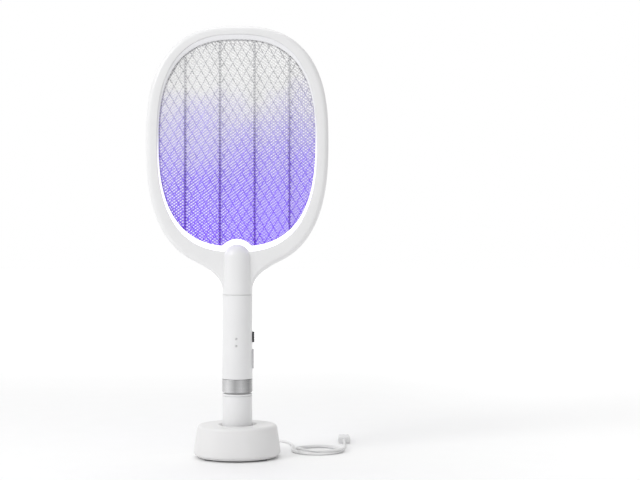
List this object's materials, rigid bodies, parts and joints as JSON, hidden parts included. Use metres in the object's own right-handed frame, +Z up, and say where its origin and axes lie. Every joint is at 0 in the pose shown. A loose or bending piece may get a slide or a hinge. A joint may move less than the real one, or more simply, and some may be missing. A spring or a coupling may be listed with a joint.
{
  "type": "electric fly swatter",
  "caption": "Electric fly swatter with an egg-shaped wire-mesh head, a straight handle with a screw-off battery section, a round charging dock and a USB lead.",
  "frame": {"origin": "on the table, under the centre of the dock", "axes": "+Z up along the handle towards the head's top, the strike face with the indicator lights towards -Y, the switch side towards +X"},
  "size_m": [0.2317, 0.169, 0.4843],
  "materials": {
    "white_plastic": "satin moulded",
    "dock_plastic": "fine satin",
    "lit_plastic": "translucent, lit from the foot",
    "carrier_plastic": "smoky tinted moulded",
    "grid_metal": "bare wire mesh",
    "satin_metal": "brushed round the ring",
    "steel": "bare",
    "brass": "plated contacts",
    "dark_plastic": "matt moulded",
    "grey_plastic": "matt moulded",
    "circuit_board": "solder mask",
    "component_black": "moulded case",
    "film_yellow": "wrapped film",
    "cell_wrap": "shrink wrap",
    "white_rubber": "soft seal",
    "grey_rubber": "matt pads",
    "cable_jacket": "soft satin"
  },
  "bodies": {
    "dock": {"dock_shell": "dock_plastic", "dock_well": "dock_plastic", "pin_block": "component_black", "base_plate": "dock_plastic", "ballast_ring": "steel", "dock_board": "circuit_board", "foot_1": "grey_rubber", "foot_2": "grey_rubber", "foot_3": "grey_rubber", "foot_4": "grey_rubber", "usb_socket": "steel"},
    "charge_pin_centre": {"charge_pin_1": "brass"},
    "charge_pin_outer": {"charge_pin_2": "brass"},
    "battery_handle": {"lower_tube": "white_plastic", "neck_cap": "white_plastic", "neck_contact": "brass", "bottom_cap": "white_plastic", "charge_pad": "brass", "charge_ring": "brass", "charge_board": "circuit_board", "battery_cell": "cell_wrap"},
    "neck_seal": {"neck_seal": "white_rubber"},
    "racket": {"head_frame_front": "white_plastic", "head_frame_rear": "white_plastic", "frame_screw_1": "steel", "frame_screw_2": "steel", "frame_screw_3": "steel", "frame_screw_4": "steel", "grid_bezel_front": "lit_plastic", "grid_bezel_rear": "lit_plastic", "front_grid": "grid_metal", "rear_grid": "grid_metal", "hv_grid": "grid_metal", "grid_carrier_front": "carrier_plastic", "grid_carrier_rear": "carrier_plastic", "neck_cover_front": "white_plastic", "neck_cover_rear": "white_plastic", "lamp_board": "circuit_board", "handle_tube": "white_plastic", "neck_plug": "white_plastic", "trim_ring": "satin_metal", "bayonet_socket": "white_plastic", "board_carrier": "white_plastic", "main_board": "circuit_board", "tact_switch": "component_black", "slide_switch": "steel", "hv_transformer": "component_black", "hv_capacitor": "film_yellow", "indicator_lens_1": "lit_plastic", "indicator_lens_2": "lit_plastic", "socket_contact": "brass"},
    "mode_switch": {"switch_knob": "dark_plastic"},
    "zap_button": {"zap_button": "grey_plastic"},
    "charging_cable": {"usb_c_shell": "steel", "usb_c_grip": "cable_jacket", "cord_lead_in": "cable_jacket", "cord_coil": "cable_jacket", "cord_lead_out": "cable_jacket", "usb_a_grip": "cable_jacket", "usb_a_shell": "steel"}
  },
  "joints": [
    {"name": "dock_lift", "type": "slide", "parent": "dock", "child": "battery_handle", "axis": [0, 0, 1], "range_m": [0, 0.048]},
    {"name": "handle_twist", "type": "hinge", "parent": "battery_handle", "child": "neck_seal", "pos_m": [0, 0, 0.0725], "axis": [0, 0, 1], "range_deg": [0, 360]},
    {"name": "handle_unscrew", "type": "slide", "parent": "neck_seal", "child": "racket", "axis": [0, 0, 1], "range_m": [0, 0.01245]},
    {"name": "mode_slide", "type": "slide", "parent": "racket", "child": "mode_switch", "axis": [0, 0, 1], "range_m": [-0.002, 0.002]},
    {"name": "zap_press", "type": "slide", "parent": "racket", "child": "zap_button", "axis": [-1, 0, 0], "range_m": [0, 0.001], "stiffness_N_per_m": 600, "springref_m": -0.0008},
    {"name": "charge_pin_centre_press", "type": "slide", "parent": "dock", "child": "charge_pin_centre", "axis": [0, 0, -1], "range_m": [0, 0.0008], "stiffness_N_per_m": 100, "springref_m": -0.0008},
    {"name": "charge_pin_outer_press", "type": "slide", "parent": "dock", "child": "charge_pin_outer", "axis": [0, 0, -1], "range_m": [0, 0.0008], "stiffness_N_per_m": 100, "springref_m": -0.0008},
    {"name": "cable_pull", "type": "slide", "parent": "dock", "child": "charging_cable", "axis": [0, 1, 0], "range_m": [0, 0.01]}
  ],
  "couplings": [
    {"joint": "handle_unscrew", "follows": "handle_twist", "m_per_rad": 0.0019735}
  ]
}
